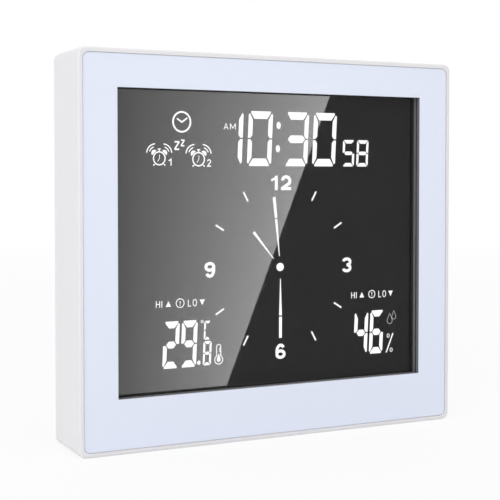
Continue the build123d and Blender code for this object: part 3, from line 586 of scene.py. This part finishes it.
# Temperature and humidity. Two large digits each, a smaller tenth of a degree, the degree sign
# with its C, the percent sign, and small pictures of a thermometer and of two drops.
reading_sizes = {
    "width": 6.85,
    "height": 18.9,
    "upright": 1.65,
    "level": 2.75,
    "gap": 0.54,
    "inset": 0.66,
}
tenth_sizes = {
    "width": 3.65,
    "height": 9.85,
    "upright": 0.88,
    "level": 1.2,
    "gap": 0.4,
    "inset": 0.5,
}
unit_sizes = {
    "width": 2.95,
    "height": 7.7,
    "upright": 0.72,
    "level": 1.1,
    "gap": 0.34,
    "inset": 0.4,
}
temperature_left = -49.6
temperature_bottom = -47.5
temperature_pitch = 7.85
humidity_left = 39.42
humidity_bottom = -47.9
humidity_pitch = 7.95
tenth_corner = (-32.15, -47.3)
unit_corner = (-31.7, -36.85)
point_spot = (-34.04, -46.0)
point_radius = 0.72
degree_spot = (-32.5, -29.4)
degree_radius = 0.48
degree_stroke = 0.26
percent_slash = [(59.45, -39.5), (55.95, -47.85)]
slash_stroke = 0.56
percent_rings = [(56.95, -40.5), (58.55, -46.85)]
percent_radius = 0.6
percent_stroke = 0.28

reading_art = bmesh.new()
add_number(
    reading_art, "29", temperature_left, temperature_bottom, temperature_pitch, **reading_sizes
)
add_number(reading_art, "46", humidity_left, humidity_bottom, humidity_pitch, **reading_sizes)
add_digit(reading_art, "8", *tenth_corner, **tenth_sizes)
add_digit(reading_art, "C", *unit_corner, **unit_sizes)
add_plate(reading_art, circle(point_spot, point_radius, rise=1.2))
add_band(reading_art, circle(degree_spot, degree_radius), degree_stroke, closed=True)
add_band(reading_art, percent_slash, slash_stroke)
for spot in percent_rings:
    add_band(reading_art, circle(spot, percent_radius, rise=1.25), percent_stroke, closed=True)

bulb = (-25.17, -45.4)
stem_half = 0.93
stem_round = -40.1
bulb_radius = 1.78
shoulder = 90 - 31.5
tube_stroke = 0.36
filling_radius = 0.86
filling_shoulder = 40
filling_half = 0.14
filling_top = -43.0
mark_start = 0.2
mark_end = 0.75
mark_top = -40.7
mark_pitch = 0.7
mark_stroke = 0.34
add_band(
    reading_art,
    [
        *arc(bulb, bulb_radius, 180 - shoulder, 360 + shoulder),
        *arc((bulb[0], stem_round), stem_half, 0, 180),
    ],
    tube_stroke,
    closed=True,
)
add_plate(
    reading_art,
    [
        *arc(bulb, filling_radius, 180 - filling_shoulder, 360 + filling_shoulder),
        (bulb[0] + filling_half, filling_top),
        (bulb[0] - filling_half, filling_top),
    ],
)
for row in range(3):
    mark_level = mark_top - mark_pitch * row
    ends = [(bulb[0] + reach, mark_level) for reach in (mark_start, mark_end)]
    add_band(reading_art, ends, mark_stroke)
place_lit(reading_art, "reading_segments", lit_white)

drop_shoulder = 28
drop_stroke = 0.24


def drop(centre, radius, tip):
    """Closed outline of a drop with its tip upwards."""
    sides = arc(centre, radius, 180 - drop_shoulder, 360 + drop_shoulder)
    return [*sides, (centre[0], centre[1] + tip)]


drop_art = bmesh.new()
for centre, radius, tip in (((57.7, -33.9), 1.35, 3.2), ((59.85, -32.3), 1.05, 2.75)):
    add_band(drop_art, drop(centre, radius, tip), drop_stroke, closed=True)
place_lit(drop_art, "drop_segments", lit_grey)

# Dial. Eight strokes and four bold numerals on an upright oval, a round hub, and three hands that
# taper towards the hub. Two of the hands are lit as an outer and an inner piece.
hub = Vector((3.19, -8.4))
oval = Vector((3.25, -8.6))
oval_reach = Vector((32.2, 34.35))
stroke_length = 4.35
stroke_width = 0.68
hub_radius = 1.72

dial_art = bmesh.new()
for hour in range(12):
    if hour % 3:
        turn = radians(hour * 30)
        middle = Vector((oval_reach.x * sin(turn), oval_reach.y * cos(turn)))
        half = middle.normalized() * stroke_length / 2
        add_band(dial_art, [oval + middle - half, oval + middle + half], stroke_width)
add_plate(dial_art, circle(hub, hub_radius))


def add_hand(art, stops):
    """Adds a piece of a hand between two stops. A stop is a place from the hub and a width."""
    (start, start_width), (end, end_width) = stops
    start = hub + Vector(start)
    end = hub + Vector(end)
    way = end - start
    side = Vector((-way.y, way.x)).normalized() / 2
    add_plate(
        art,
        [
            start + side * start_width,
            end + side * end_width,
            end - side * end_width,
            start - side * start_width,
        ],
    )


for stops in (
    (((-2.85, 29.3), 1.3), ((-1.95, 20.6), 1.15)),
    (((-1.9, 20.05), 1.1), ((-0.33, 4.6), 0.3)),
    (((-12.35, 14.85), 1.15), ((-3.05, 3.6), 0.3)),
    (((0.17, -29.8), 1.3), ((0.19, -20.9), 1.3)),
    (((0.19, -20.35), 1.3), ((0.15, -4.9), 0.3)),
):
    add_hand(dial_art, stops)


def add_numeral(art, sign, centre, width, height, stroke):
    """Adds a plain numeral with even strokes."""
    middle = Vector(centre)
    low = middle - Vector((width, height)) / 2
    turn = -1 if sign == "9" else 1
    radius = (width - stroke) / 2

    def placed(path):
        return [middle + (Vector(point) - middle) * turn for point in path]

    if sign == "1":
        stem = width - stroke
        outline = [
            (stem, 0),
            (width, 0),
            (width, height),
            (width - stroke * 0.8, height),
            (stem - stroke * 0.3, height * 0.86),
            (0, height * 0.77),
            (0, height * 0.62),
            (stem, height * 0.71),
        ]
        add_plate(art, [low + Vector(point) for point in outline])
    elif sign == "2":
        top = middle + Vector((0, height / 2 - stroke / 2 - radius))
        foot = low + Vector((stroke * 0.55, stroke * 0.6))
        add_band(art, [*arc(top, radius, 172, -38), foot], stroke)
        add_band(art, [low + Vector((0, stroke / 2)), low + Vector((width, stroke / 2))], stroke)
    elif sign == "3":
        rise = (height - stroke) / 4 / radius
        for side, start, end in ((1, 165, -90), (-1, 90, -165)):
            loop = middle + Vector((0, side * radius * rise))
            add_band(art, arc(loop, radius, start, end, rise), stroke)
    else:
        loop_rise = (0.62 * height - stroke) / 2 / radius
        loop = middle - Vector((0, height / 2 - stroke / 2 - radius * loop_rise))
        add_band(art, placed(circle(loop, radius, loop_rise)), stroke, closed=True)
        spine_rise = (height - stroke) / 2 / radius
        add_band(art, placed(arc(middle, radius, 38, 205, spine_rise)), stroke)


numeral_sizes = {"width": 4.75, "height": 6.4, "stroke": 1.25}
add_numeral(dial_art, "1", (0.5, 26.8), width=3.0, height=5.95, stroke=1.3)
add_numeral(dial_art, "2", (6.0, 26.9), width=4.75, height=6.2, stroke=1.28)
add_numeral(dial_art, "3", (35.6, -8.6), **numeral_sizes)
add_numeral(dial_art, "6", (3.42, -43.85), **numeral_sizes)
add_numeral(dial_art, "9", (-29.1, -8.45), **numeral_sizes)
place_lit(dial_art, "dial_segments", lit_white)

# Small signs. Morning sign, high and low limit signs with an arrow over each reading, a ring with
# a mark, a plain clock picture, and two numbered alarm clock pictures with a sleep sign.
letter_strokes = {
    "A": [[(0, 0), (0.5, 1), (1, 0)], [(0.18, 0.32), (0.82, 0.32)]],
    "H": [[(0, 0), (0, 1)], [(1, 0), (1, 1)], [(0, 0.52), (1, 0.52)]],
    "I": [[(0.5, 0), (0.5, 1)]],
    "L": [[(0, 1), (0, 0), (1, 0)]],
    "M": [[(0, 0), (0, 1)], [(0, 1), (0.5, 0.2), (1, 1)], [(1, 1), (1, 0)]],
    "Z": [[(0, 1), (1, 1)], [(1, 1), (0, 0)], [(0, 0), (1, 0)]],
}


def add_letter(art, sign, left, bottom, width, height, stroke):
    """Adds a capital letter. Its strokes run along the edges of a box of that size."""
    if sign == "O":
        centre = (left + width / 2, bottom + height / 2)
        add_band(art, circle(centre, width / 2, height / width), stroke, closed=True)
        return
    for path in letter_strokes[sign]:
        add_band(art, [(left + x * width, bottom + y * height) for x, y in path], stroke)


sign_art = bmesh.new()
for sign, left, bottom, width, height, stroke in (
    ("A", -22.65, 48.7, 1.75, 2.4, 0.32),
    ("M", -19.85, 48.7, 2.3, 2.4, 0.32),
    ("Z", -44.45, 40.35, 1.95, 3.0, 0.62),
    ("Z", -41.7, 41.8, 1.45, 2.25, 0.52),
):
    add_letter(sign_art, sign, left, bottom, width, height, stroke)
add_numeral(sign_art, "1", (-46.45, 35.25), width=1.3, height=2.9, stroke=0.44)
add_numeral(sign_art, "2", (-29.4, 34.95), width=1.75, height=3.0, stroke=0.42)

limit_height = 2.65
limit_stroke = 0.32
limit_letters = (("H", 0.0, 1.45), ("I", 2.3, 0.2), ("L", 13.85, 1.2), ("O", 15.95, 1.55))
arrow_half = 1.15
limit_arrows = ((5.2, 1), (20.0, -1))
ring_shift = (10.3, 0.1)
ring_stroke = 0.32
notice_ends = (0.8, -0.15)
notice_stroke = 0.36
dot_drop = 0.75
dot_radius = 0.2
for left, middle, ring_radius in ((-52.5, -21.5, 1.72), (38.1, -21.9, 1.58)):
    bottom = middle - limit_height / 2
    for sign, shift, width in limit_letters:
        add_letter(sign_art, sign, left + shift, bottom, width, limit_height, limit_stroke)
    for shift, way in limit_arrows:
        centre = left + shift
        add_plate(
            sign_art,
            [
                (centre - arrow_half, middle - way * arrow_half),
                (centre + arrow_half, middle - way * arrow_half),
                (centre, middle + way * arrow_half),
            ],
        )
    ring = (left + ring_shift[0], middle + ring_shift[1])
    add_band(sign_art, circle(ring, ring_radius, rise=1.02), ring_stroke, closed=True)
    add_band(sign_art, [(ring[0], ring[1] + end) for end in notice_ends], notice_stroke)
    add_plate(sign_art, circle((ring[0], ring[1] - dot_drop), dot_radius))

clock_picture = Vector((-41.35, 51.35))
picture_radius = 3.78
picture_stroke = 0.7
picture_hands = ((-2.1, 1.35), (0, -0.1), (2.4, 1.6))
picture_hand_stroke = 0.6
add_band(
    sign_art, circle(clock_picture, picture_radius, rise=1.05), picture_stroke, closed=True
)
add_band(sign_art, [clock_picture + Vector(end) for end in picture_hands], picture_hand_stroke)


def add_alarm_clock(art, centre, radius):
    """Adds a small alarm clock: ring, hands, feet, knob, two bells and two waves at each bell. Its
    sizes are those of a clock with a ring of 2.5 mm, which part turns into this one's."""
    centre = Vector(centre)
    part = radius / 2.5
    add_band(art, circle(centre, radius, rise=1.05), 0.48 * part, closed=True)
    hands = ((0.1, 1.5), (0.1, 0.0), (-0.75, -1.3))
    add_band(art, [centre + Vector(end) * part for end in hands], 0.24 * part)
    knob = centre + Vector((0, 3.75)) * part
    knob_half = Vector((0.7, 0)) * part
    add_band(art, [knob - knob_half, knob + knob_half], 0.4 * part)
    add_band(art, [knob - Vector((0, 1.2)) * part, knob], 0.45 * part)
    for side in (-1, 1):
        foot = [centre + Vector(end) * part for end in ((side * 1.95, -2.35), (side * 2.6, -2.85))]
        add_band(art, foot, 0.5 * part)
        bell = centre + Vector((side, 1)) * radius * 0.86
        tilt = 90 - side * 45
        add_plate(art, arc(bell, 1.25 * part, tilt - 90, tilt + 90))
        wave = centre + Vector((side * 1.56, 1.95)) * part
        add_band(art, arc(wave, 3.85 * part, tilt - 41, tilt + 41), 0.46 * part)
        add_band(art, arc(wave, 2.7 * part, tilt - 28, tilt + 28), 0.42 * part)


add_alarm_clock(sign_art, (-51.05, 36.7), 2.47)
add_alarm_clock(sign_art, (-34.0, 36.45), 2.55)
place_lit(sign_art, "sign_segments", lit_white)

# Light bars, holder and contact strip. Lamps with a yellow phosphor on narrow green boards at both
# sides of the light guide, a white tray that presses the stack, and a layered rubber strip.
track_grid = 160.0
track_gap = 0.06
track_relief = 0.00003
wave_turns = 0.314


def board(name, colour, trace):
    """Circuit board: solder mask with slightly raised, lighter copper runs."""
    material, shade, place = start_finish(name)
    cells = place.node(
        "ShaderNodeTexBrick",
        {"offset": 0.5},
        {"Vector": place, "Scale": track_grid, "Mortar Size": track_gap, "Mortar Smooth": 0.3},
        1,
    )
    clouds = noise(place, 0.01)
    end_finish(
        shade,
        {
            "Base Color": cells.tint(scaled(colour, 1), scaled(trace, 1)),
            "Roughness": clouds * 0.1 + 0.3,
            "Normal": bumped(cells, track_relief),
        },
    )
    return material


def striped(name, first, second, pitch, roughness):
    """Plastic or rubber with even stripes of two colours, across the piece at that pitch in
    metres."""
    material, shade, place = start_finish(name)
    bands = shade.node(
        "ShaderNodeTexWave",
        {"bands_direction": "X"},
        {"Vector": place, "Scale": wave_turns / pitch},
    )
    end_finish(
        shade,
        {
            "Base Color": bands.tint(scaled(first, 1), scaled(second, 1)),
            "Roughness": bands * 0.1 + roughness,
        },
    )
    return material


# The key board and the sensor board keep the plain green that model.glb gives them. Of these the
# sensor board shows a little through the vents.
dress(board("board_green", (0.02, 0.13, 0.06), (0.04, 0.22, 0.10)), "led_boards", "main_board")
dress(moulded("led_phosphor", (0.85, 0.75, 0.25), 0.35, grain=0.0001), "backlight_leds")
dress(moulded("holder_white", (0.80, 0.80, 0.78), 0.5), "lcd_holder")
dress(striped("strip_rubber", (0.7, 0.25, 0.3), (0.05, 0.05, 0.05), 0.0002, 0.7), "contact_strip")

# Parts on the boards. Black epoxy over the controller, moulded resistors, chip and switches, drawn
# cans for the crystal and the capacitors, and a natural nylon socket.
mark_size = 0.0004
mark_relief = 0.000006
tarnish_size = 0.004


def metal(name, colour, roughness):
    """Bare or plated metal with fine marks and an uneven shine."""
    material, shade, place = start_finish(name)
    marks = noise(place, mark_size, 4)
    clouds = noise(place, tarnish_size)
    end_finish(
        shade,
        {
            "Base Color": clouds.tint(scaled(colour, 0.9), scaled(colour, 1.0)),
            "Metallic": 1.0,
            "Roughness": marks * 0.15 + (clouds * 0.1 + roughness),
            "Normal": bumped(marks, mark_relief),
        },
    )
    return material


dress(
    moulded("epoxy_black", (0.02, 0.02, 0.02), 0.45, cloud=0.2),
    "controller_cap",
    "board_resistors",
    "sensor_chip",
    "key_switches",
)
dress(metal("can_metal", (0.72, 0.72, 0.74), 0.25), "clock_crystal", "board_capacitors")
dress(moulded("socket_nylon", (0.82, 0.80, 0.74), 0.5), "lead_socket")

# Rear cover, stand and battery door. The same white plastic with a coarser spark texture, which
# hides finger marks and catches the light on the ribs and round the holes.
cover_colour = (0.82, 0.82, 0.83)
dress(
    moulded("cover_textured", cover_colour, 0.55, grain=0.0006, relief=0.00002),
    "rear_cover",
    "kickstand",
    "battery_door",
)

# Keys. Five caps moulded in grey plastic, in the tray of the rear cover. A flange keeps each cap
# in, and its post sits on the black stem of a switch behind it, which springs it back.
key_names = ("set", "alarm", "snooze", "down", "up")
dress(moulded("key_grey", (0.46, 0.48, 0.51), 0.45), *[f"{name}_key" for name in key_names])
dress(moulded("stem_black", (0.03, 0.03, 0.03), 0.5), *[f"{name}_stem" for name in key_names])

# Key signs. Small signs pad-printed in grey above the keys tell what they set: a ring for the time,
# an alarm clock, a sleep sign, minus and plus. The battery door has an arrow to its finger notch.
print_thickness = 0.00002
print_grey = moulded("print_grey", (0.30, 0.31, 0.33), 0.5, grain=0.0002)
print_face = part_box("rear_cover")[1].y - print_thickness / 2
sign_rise = 6.6
sign_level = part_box("set_key")[1].z / mm - case_middle / mm + sign_rise
time_radius = 1.5
time_stroke = 0.4
time_hands = ((0, 1.0), (0, 0), (0.8, 0))
time_hand_stroke = 0.35
alarm_drop = 0.3
alarm_radius = 1.45
arm = 1.4
arm_stroke = 0.5


def key_middle(name):
    """Middle of a key in millimetres, counted to the right as the back is seen."""
    low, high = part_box(name)
    return -(low.x + high.x) / 2 / mm


key_art = bmesh.new()
ring = (key_middle("set_key"), sign_level)
add_band(key_art, circle(ring, time_radius), time_stroke, closed=True)
add_band(key_art, [(ring[0] + x, ring[1] + z) for x, z in time_hands], time_hand_stroke)
add_alarm_clock(key_art, (key_middle("alarm_key"), sign_level - alarm_drop), alarm_radius)
snooze = key_middle("snooze_key")
for left, bottom, width, height, stroke in (
    (-2.6, -1.5, 2.1, 3.0, 0.5),
    (0.6, -0.6, 1.5, 2.1, 0.4),
):
    add_letter(key_art, "Z", snooze + left, sign_level + bottom, width, height, stroke)
down = key_middle("down_key")
add_band(key_art, [(down - arm, sign_level), (down + arm, sign_level)], arm_stroke)
up = key_middle("up_key")
add_band(key_art, [(up - arm, sign_level), (up + arm, sign_level)], arm_stroke)
add_band(key_art, [(up, sign_level - arm), (up, sign_level + arm)], arm_stroke)
key_signs = place_art(key_art, "key_signs", print_grey, print_face, pi)
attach(key_signs, "case")

door_low, door_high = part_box("battery_door")
door_arrow_rise = 13.5
door_arrow_half = 2.6
door_arrow_length = 4.2
tip_x = -(door_low.x + door_high.x) / 2 / mm
tip_z = (door_low.z - case_middle) / mm + door_arrow_rise
tail_z = tip_z + door_arrow_length
door_art = bmesh.new()
add_plate(
    door_art,
    [(tip_x, tip_z), (tip_x + door_arrow_half, tail_z), (tip_x - door_arrow_half, tail_z)],
)
door_arrow = place_art(door_art, "door_arrow", print_grey, door_high.y - print_thickness / 2, pi)
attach(door_arrow, "battery_door")

# Sounder. A thin brass plate with a silvered ceramic disc, which gives the alarm tone. It is
# seated in its ring behind the round holes.
dress(metal("sounder_brass", (0.75, 0.55, 0.25), 0.3), "buzzer_plate")
dress(moulded("sounder_ceramic", (0.72, 0.71, 0.66), 0.35), "buzzer_ceramic")

# Battery bay. Contacts of nickel-plated spring steel, and two cells in plain printed sleeves. These
# are grey-green with a white band at the positive end, and the end faces are bare metal.
dress(
    metal("contact_nickel", (0.68, 0.66, 0.62), 0.22),
    "bridge_contact",
    "positive_contact",
    "negative_contact",
)
cell_low, cell_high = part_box("batteries")
cell_middle = (cell_low.x + cell_high.x) / 2
cell_band = 0.011
cell_end = 0.0014
cell_far_end = 0.0015
cell_end_colour = (0.6, 0.6, 0.6)
wear_size = 0.0005
wear_relief = 0.000005
sleeve_colour = (0.12, 0.19, 0.17)
band_colour = (0.72, 0.73, 0.70)


def cell_sleeve():
    """Printed sleeve whose white band follows each cell's own direction."""
    material, shade, place = start_finish("cell_sleeve")
    x, z = value_along(place, 0), value_along(place, 2)
    first = x < cell_middle
    from_top = cell_high.z - z
    from_bottom = z - cell_low.z
    along = first * from_top + (1 - first) * from_bottom
    band = along < cell_band
    ends = (along < cell_end) + ((cell_high.z - cell_low.z - cell_far_end) < along)
    wear = noise(place, wear_size, 3)
    colour = band.tint(scaled(sleeve_colour, 1), scaled(band_colour, 1))
    end_finish(
        shade,
        {
            "Base Color": ends.tint(colour, scaled(cell_end_colour, 1)),
            "Roughness": wear * 0.1 + 0.25,
            "Normal": bumped(wear, wear_relief),
        },
    )
    return material


dress(cell_sleeve(), "batteries")

# Wires. Plastic insulation on the red and black leads of the battery bay and on the leads of the
# sounder, and flat grey cables with fine ribs from the key and sensor boards to the main board.
dress(moulded("lead_red", (0.45, 0.015, 0.015), 0.45), "red_lead")
dress(moulded("lead_black", (0.02, 0.02, 0.02), 0.45), "black_lead", "buzzer_leads")
dress(
    striped("ribbon_ribs", (0.42, 0.42, 0.44), (0.55, 0.55, 0.57), 0.001, 0.4),
    "key_ribbon",
    "sensor_ribbon",
)

# Screws and stand pin. Zinc-plated steel with a dull, slightly uneven shine. The pin runs through
# the barrel of the stand into both walls of its recess.
dress(
    metal("screw_zinc", (0.42, 0.42, 0.43), 0.3),
    "case_screws",
    "holder_screws",
    "board_screws",
    "key_board_screws",
    "kickstand_pin",
)


# Studio. A white floor that still takes a soft shadow, a white sky and three soft lamps. Two dark
# walls, in front and at the left, show in glossy faces alone and keep the display black.
def backdrop(name, corners, surface):
    """Flat sheet with those corners, which isn't part of the clock."""
    mesh = bpy.data.meshes.new(name)
    mesh.from_pydata(corners, [], [range(len(corners))])
    mesh.materials.append(surface)
    piece = bpy.data.objects.new(name, mesh)
    scene.collection.objects.link(piece)
    return piece


def only_in_mirrors(piece):
    """Shows a sheet to glossy faces alone, also to those behind the lens."""
    piece.visible_camera = False
    piece.visible_diffuse = False
    piece.visible_shadow = False


white = (1, 1, 1, 1)


def glowing(name, strength):
    """Surface that gives even white light of that strength."""
    material, shade, _ = start_finish(name)
    light = shade.node("ShaderNodeEmission", None, {"Color": white, "Strength": strength})
    shade.node("ShaderNodeOutputMaterial", None, {"Surface": light})
    return material


def is_seen(shade):
    """1 for what the camera sees, also in a mirror and through glass, and 0 for other light. These
    rays are outputs 0, 3 and 6 of the node."""
    kinds = [shade.node("ShaderNodeLightPath", output=kind) for kind in (0, 3, 6)]
    return kinds[0] + kinds[1] + kinds[2] > 0.5


floor_reach = 6.0
floor_colour = (0.94, 0.94, 0.94)
floor_glow = 0.85
floor_fade = (0.3, 1.5)
floor_paper, shade, place = start_finish("floor_paper")
seen_ray = is_seen(shade)
paper = shade.node("ShaderNodeBsdfDiffuse", None, {"Color": scaled(floor_colour, 1)})
light = shade.node("ShaderNodeEmission", None, {"Color": white, "Strength": 1.0})
distance = shade.node("ShaderNodeVectorMath", {"operation": "LENGTH"}, {0: place}, 1)
glow = distance.between(*floor_fade) * (1 - floor_glow) + floor_glow
seen = shade.node("ShaderNodeMixShader", None, {0: seen_ray * glow, 1: paper, 2: light})
shade.node("ShaderNodeOutputMaterial", None, {"Surface": seen})
floor = backdrop(
    "studio_floor",
    [(x * floor_reach, y * floor_reach, 0) for x, y in ((-1, -1), (1, -1), (1, 1), (-1, 1))],
    floor_paper,
)
floor.visible_glossy = False
floor.visible_transmission = False

sky_light = 0.6
world = bpy.data.worlds.new("studio_sky")
world.use_nodes = True
world.node_tree.nodes.clear()
scene.world = world
sky = Shade(world.node_tree)
seen_sky = is_seen(sky)
strength = seen_sky + (1 - seen_sky) * sky_light
light = sky.node("ShaderNodeBackground", None, {"Color": white, "Strength": strength})
sky.node("ShaderNodeOutputWorld", None, {"Surface": light})


def soft_lamp(name, spot, size, power):
    """Large square lamp that faces the middle of the clock."""
    lamp = bpy.data.lights.new(name, "AREA")
    lamp.size = size
    lamp.energy = power
    piece = bpy.data.objects.new(name, lamp)
    piece.location = spot
    aim = Vector((0, 0, case_middle)) - Vector(spot)
    piece.rotation_euler = aim.to_track_quat("-Z", "Y").to_euler()
    scene.collection.objects.link(piece)


soft_lamp("top_lamp", (0.0, -0.3, 2.0), size=1.5, power=11.0)
soft_lamp("left_lamp", (-1.5, -0.8, 0.4), size=1.0, power=10.0)
soft_lamp("front_lamp", (0.6, -1.6, 0.15), size=1.0, power=4.5)

wall_distance = 1.3
wall_half = 2.0
side_wall_place = -1.15
side_wall_end = -0.25
wall_glow = 0.15
wall_paint = glowing("dark_wall", wall_glow)
for name, start, end in (
    ("dark_wall", (-wall_half, -wall_distance), (wall_half, -wall_distance)),
    ("side_wall", (side_wall_place, -wall_distance), (side_wall_place, side_wall_end)),
):
    corners = [
        (*start, -wall_half),
        (*end, -wall_half),
        (*end, wall_half),
        (*start, wall_half),
    ]
    only_in_mirrors(backdrop(name, corners, wall_paint))

# Light card. A slanting card of light stands to the right in front of the clock. The display
# mirrors it as the bright part of the window, which ends in a straight slanting edge.
card_distance = 0.6
card_outline = [(-0.095, 0.092), (0.0387, 0.092), (-0.0309, -0.080), (-0.095, -0.080)]
card_gain = 11.5
card_level = 0.311
card_level_fall = 0.28
card_slope = 3.855
card_slope_fall = 11.6
window_left = 0.068
mirrored_camera = Vector((camera_spot.x, 2 * film_face - camera_spot.y, camera_spot.z))
film_middle = Vector((0, film_face, case_middle))
card_growth = (mirrored_camera.y + card_distance) / (mirrored_camera.y - film_face)
card_light, shade, place = start_finish("light_card")
x, z = value_along(place, 0), value_along(place, 2)
slope = card_slope - z * card_slope_fall
level = (x + window_left) * slope + (card_level - z * card_level_fall)
light = shade.node(
    "ShaderNodeEmission", None, {"Color": white, "Strength": level * level * card_gain}
)
shade.node("ShaderNodeOutputMaterial", None, {"Surface": light})
card = backdrop("light_card", [(x, 0, z) for x, z in card_outline], card_light)
card.location = mirrored_camera + (film_middle - mirrored_camera) * card_growth
card.scale = (card_growth,) * 3
only_in_mirrors(card)

scene.view_settings.view_transform = "Standard"
